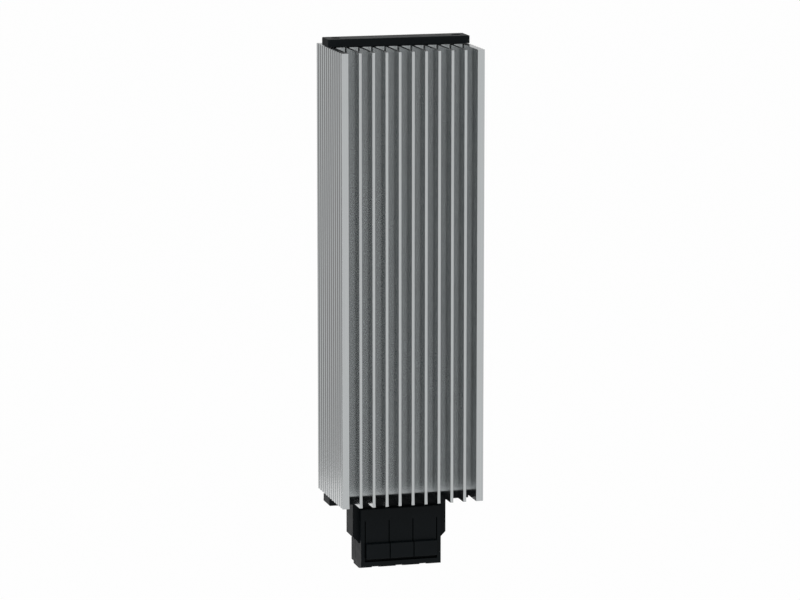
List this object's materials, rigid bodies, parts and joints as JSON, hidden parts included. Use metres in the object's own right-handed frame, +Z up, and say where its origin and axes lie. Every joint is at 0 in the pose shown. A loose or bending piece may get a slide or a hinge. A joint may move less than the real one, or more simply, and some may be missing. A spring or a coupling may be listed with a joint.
{
  "type": "heating element",
  "caption": "Finned aluminium enclosure heater with a ceramic heating stack, end plates, press-clamp terminal block and clip for a 35 mm rail.",
  "frame": {"origin": "Middle of the rail seat: the front face of a 35 mm rail lies in the plane Y = 0.", "axes": "+Z runs up the extrusion, +X across the fins, +Y toward the rail, -Y out of the finned front."},
  "size_m": [0.07, 0.0502, 0.2585],
  "materials": {
    "anodised_aluminium": "satin",
    "black_plastic": "semi-gloss",
    "zinc_plated_steel": "satin",
    "spring_steel": "satin",
    "tinned_copper": "satin",
    "aluminium_sheet": "satin",
    "heating_ceramic": "matte",
    "amber_film": "gloss",
    "locator_plastic": "matte"
  },
  "bodies": {
    "root": {"heatsink": "anodised_aluminium", "top_cap": "black_plastic", "top_screw_left": "zinc_plated_steel", "top_screw_right": "zinc_plated_steel", "terminal_housing": "black_plastic", "bottom_screw_left": "zinc_plated_steel", "bottom_screw_right": "zinc_plated_steel", "terminal_front_shell": "black_plastic", "terminal_rear_shell": "black_plastic", "contact_bar_line": "tinned_copper", "contact_bar_neutral": "tinned_copper", "contact_bar_earth": "tinned_copper", "clamp_spring_line": "spring_steel", "clamp_spring_neutral": "spring_steel", "clamp_spring_earth": "spring_steel", "electrode_front": "aluminium_sheet", "electrode_rear": "aluminium_sheet", "ptc_stone_1": "heating_ceramic", "ptc_stone_2": "heating_ceramic", "ptc_stone_3": "heating_ceramic", "ptc_stone_4": "heating_ceramic", "ptc_stone_5": "heating_ceramic", "stone_locator": "locator_plastic", "insulating_sleeve": "amber_film", "rail_clip": "zinc_plated_steel", "clip_screw_lower": "zinc_plated_steel", "clip_screw_upper": "zinc_plated_steel"}
  },
  "joints": []
}
